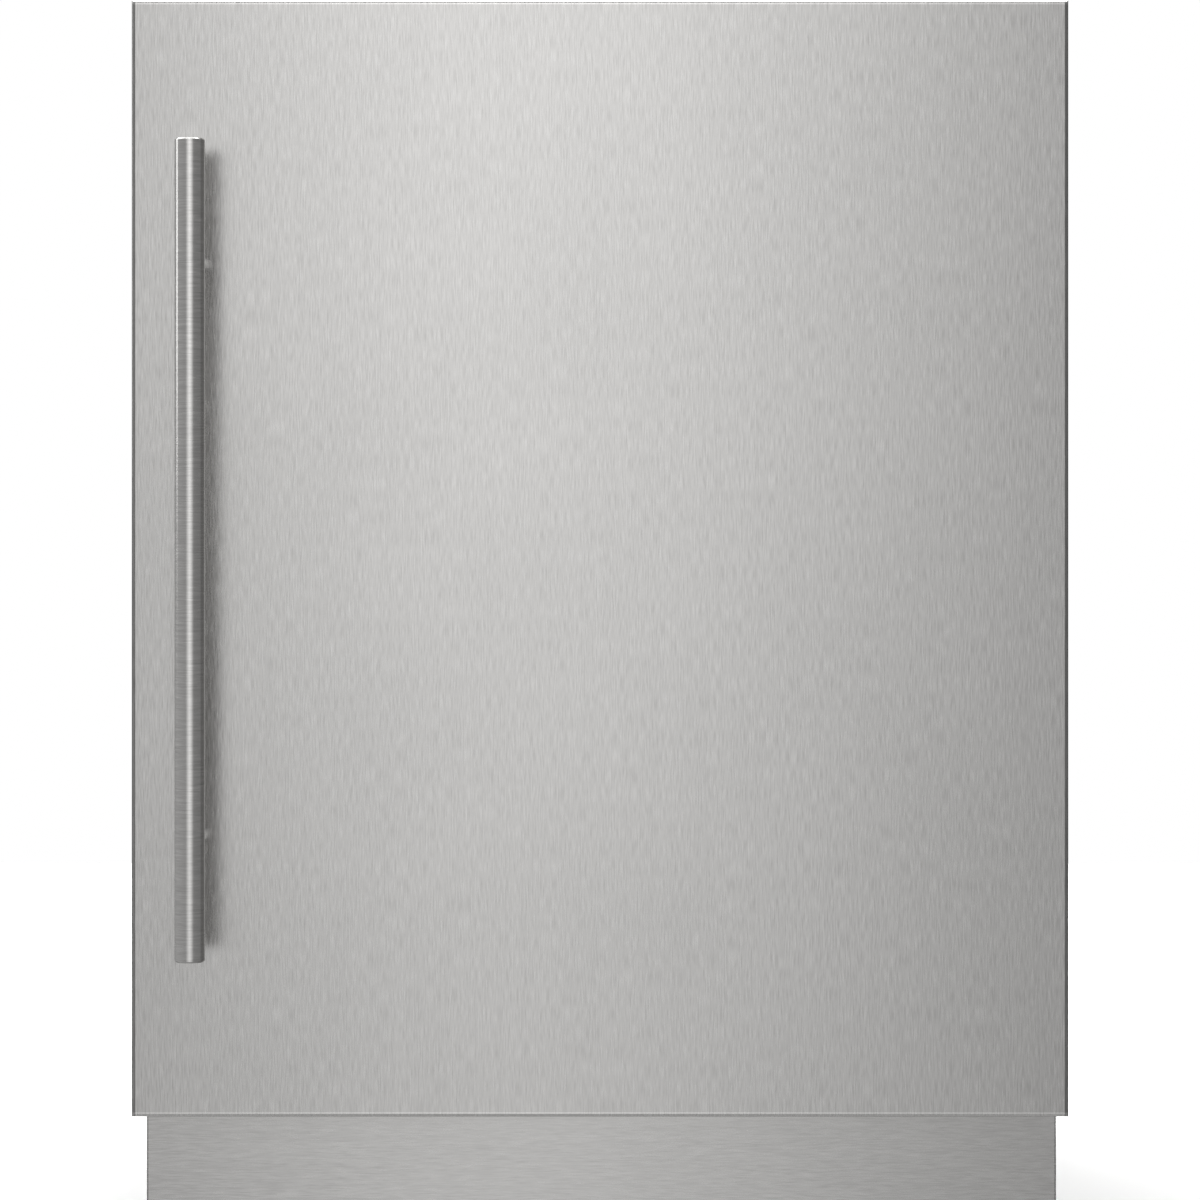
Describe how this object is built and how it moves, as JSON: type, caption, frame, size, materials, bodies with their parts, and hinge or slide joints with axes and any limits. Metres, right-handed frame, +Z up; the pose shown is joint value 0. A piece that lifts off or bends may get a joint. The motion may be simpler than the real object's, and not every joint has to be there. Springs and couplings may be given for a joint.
{
  "type": "undercounter refrigerator",
  "caption": "Built-in undercounter refrigerator with a full stainless door, round bar handle, recessed toe kick, glass shelves, door bins and crisper.",
  "frame": {"origin": "on the floor under the middle of the appliance, handle and feet included", "axes": "+Z up, the door and its handle face -Y, +X towards the hinge side, which is on the viewer's right"},
  "size_m": [0.6, 0.63, 0.82],
  "materials": {
    "brushed_stainless": "brushed stainless sheet",
    "brushed_tube": "stainless tube brushed round its girth",
    "zinc_steel": "zinc plated steel",
    "grey_paint": "textured charcoal powder coat",
    "light_paint": "light grey prepainted sheet",
    "black_paint": "black enamel",
    "galvanised": "galvanised sheet",
    "white_liner": "satin white styrene",
    "grey_plastic": "moulded grey plastic",
    "black_plastic": "moulded black plastic",
    "nylon": "natural nylon",
    "foam": "rigid polyurethane foam",
    "board": "moisture resistant fibreboard",
    "seal_rubber": "soft grey seal",
    "black_rubber": "moulded rubber",
    "clear_plastic": "clear styrene",
    "shelf_glass": "tempered float glass",
    "diffuser": "opal diffuser",
    "aluminium": "mill finish",
    "copper": "drawn copper"
  },
  "bodies": {
    "cabinet": {"outer_wrapper": "grey_paint", "underbody_panel": "galvanised", "foam_insulation": "foam", "inner_liner": "white_liner", "front_frame": "white_liner", "rear_panel": "galvanised", "base_pan": "galvanised", "kick_plate": "brushed_stainless", "anchor_tabs": "zinc_steel", "top_hinge_bracket": "zinc_steel", "bottom_hinge_bracket": "zinc_steel", "hinge_pins": "zinc_steel", "hinge_screws": "zinc_steel", "shelf_ladders": "white_liner", "crisper_rails": "white_liner", "control_housing": "white_liner", "light_bar": "diffuser", "evaporator_cover": "white_liner", "evaporator_coil": "aluminium", "evaporator_fan_motor": "black_plastic", "drain_tube": "black_rubber", "drain_pan": "black_plastic", "compressor": "black_paint", "compressor_mounts": "black_rubber", "relay_cover": "black_plastic", "condenser_fan_shroud": "galvanised", "condenser_fan_motor": "black_plastic", "condenser_coil": "aluminium", "filter_drier": "copper", "refrigerant_lines": "copper", "machine_cover": "light_paint", "cover_screws": "zinc_steel", "power_inlet": "black_plastic"},
    "door": {"door_panel": "brushed_stainless", "panel_core": "board", "panel_rails": "zinc_steel", "door_shell": "grey_paint", "door_foam": "foam", "door_liner": "white_liner", "door_gasket": "seal_rubber", "hinge_bushings": "nylon", "handle_bar": "brushed_tube", "handle_posts": "brushed_tube", "handle_screws": "zinc_steel"},
    "lower_bin": {"lower_bin": "clear_plastic"},
    "upper_bin": {"upper_bin": "clear_plastic"},
    "upper_shelf": {"upper_shelf_frame": "grey_plastic", "upper_shelf_glass": "shelf_glass"},
    "lower_shelf": {"lower_shelf_frame": "grey_plastic", "lower_shelf_glass": "shelf_glass"},
    "crisper": {"crisper_bin": "clear_plastic"},
    "power_button": {"power_button": "black_plastic"},
    "warmer_button": {"warmer_button": "black_plastic"},
    "colder_button": {"colder_button": "black_plastic"},
    "evaporator_fan": {"evaporator_fan": "black_plastic"},
    "condenser_fan": {"condenser_fan": "black_plastic"},
    "leg_front_left": {"leg_front_left": "black_plastic"},
    "leg_front_right": {"leg_front_right": "black_plastic"},
    "leg_rear_left": {"leg_rear_left": "black_plastic"},
    "leg_rear_right": {"leg_rear_right": "black_plastic"}
  },
  "joints": [
    {"name": "door_swing", "type": "hinge", "parent": "cabinet", "child": "door", "pos_m": [0.282, -0.222, 0.46], "axis": [0, 0, 1], "range_deg": [0, 110]},
    {"name": "lower_bin_lift", "type": "slide", "parent": "door", "child": "lower_bin", "axis": [0, 0, 1], "range_m": [0, 0.04]},
    {"name": "upper_bin_lift", "type": "slide", "parent": "door", "child": "upper_bin", "axis": [0, 0, 1], "range_m": [0, 0.04]},
    {"name": "lower_shelf_slide", "type": "slide", "parent": "cabinet", "child": "lower_shelf", "axis": [0, -1, 0], "range_m": [0, 0.07]},
    {"name": "upper_shelf_slide", "type": "slide", "parent": "cabinet", "child": "upper_shelf", "axis": [0, -1, 0], "range_m": [0, 0.095]},
    {"name": "crisper_slide", "type": "slide", "parent": "cabinet", "child": "crisper", "axis": [0, -1, 0], "range_m": [0, 0.07]},
    {"name": "power_button_press", "type": "slide", "parent": "cabinet", "child": "power_button", "axis": [0, 1, 0], "range_m": [0, 0.001], "stiffness_N_per_m": 300},
    {"name": "warmer_button_press", "type": "slide", "parent": "cabinet", "child": "warmer_button", "axis": [0, 1, 0], "range_m": [0, 0.001], "stiffness_N_per_m": 300},
    {"name": "colder_button_press", "type": "slide", "parent": "cabinet", "child": "colder_button", "axis": [0, 1, 0], "range_m": [0, 0.001], "stiffness_N_per_m": 300},
    {"name": "evaporator_fan_spin", "type": "hinge", "parent": "cabinet", "child": "evaporator_fan", "pos_m": [0, 0.2495, 0.625], "axis": [0, 1, 0], "continuous": true},
    {"name": "condenser_fan_spin", "type": "hinge", "parent": "cabinet", "child": "condenser_fan", "pos_m": [0.004, 0.218, 0.13], "axis": [1, 0, 0], "continuous": true},
    {"name": "leg_front_left_screw", "type": "slide", "parent": "cabinet", "child": "leg_front_left", "axis": [0, 0, -1], "range_m": [0, 0.025]},
    {"name": "leg_front_right_screw", "type": "slide", "parent": "cabinet", "child": "leg_front_right", "axis": [0, 0, -1], "range_m": [0, 0.025]},
    {"name": "leg_rear_left_screw", "type": "slide", "parent": "cabinet", "child": "leg_rear_left", "axis": [0, 0, -1], "range_m": [0, 0.025]},
    {"name": "leg_rear_right_screw", "type": "slide", "parent": "cabinet", "child": "leg_rear_right", "axis": [0, 0, -1], "range_m": [0, 0.025]}
  ]
}
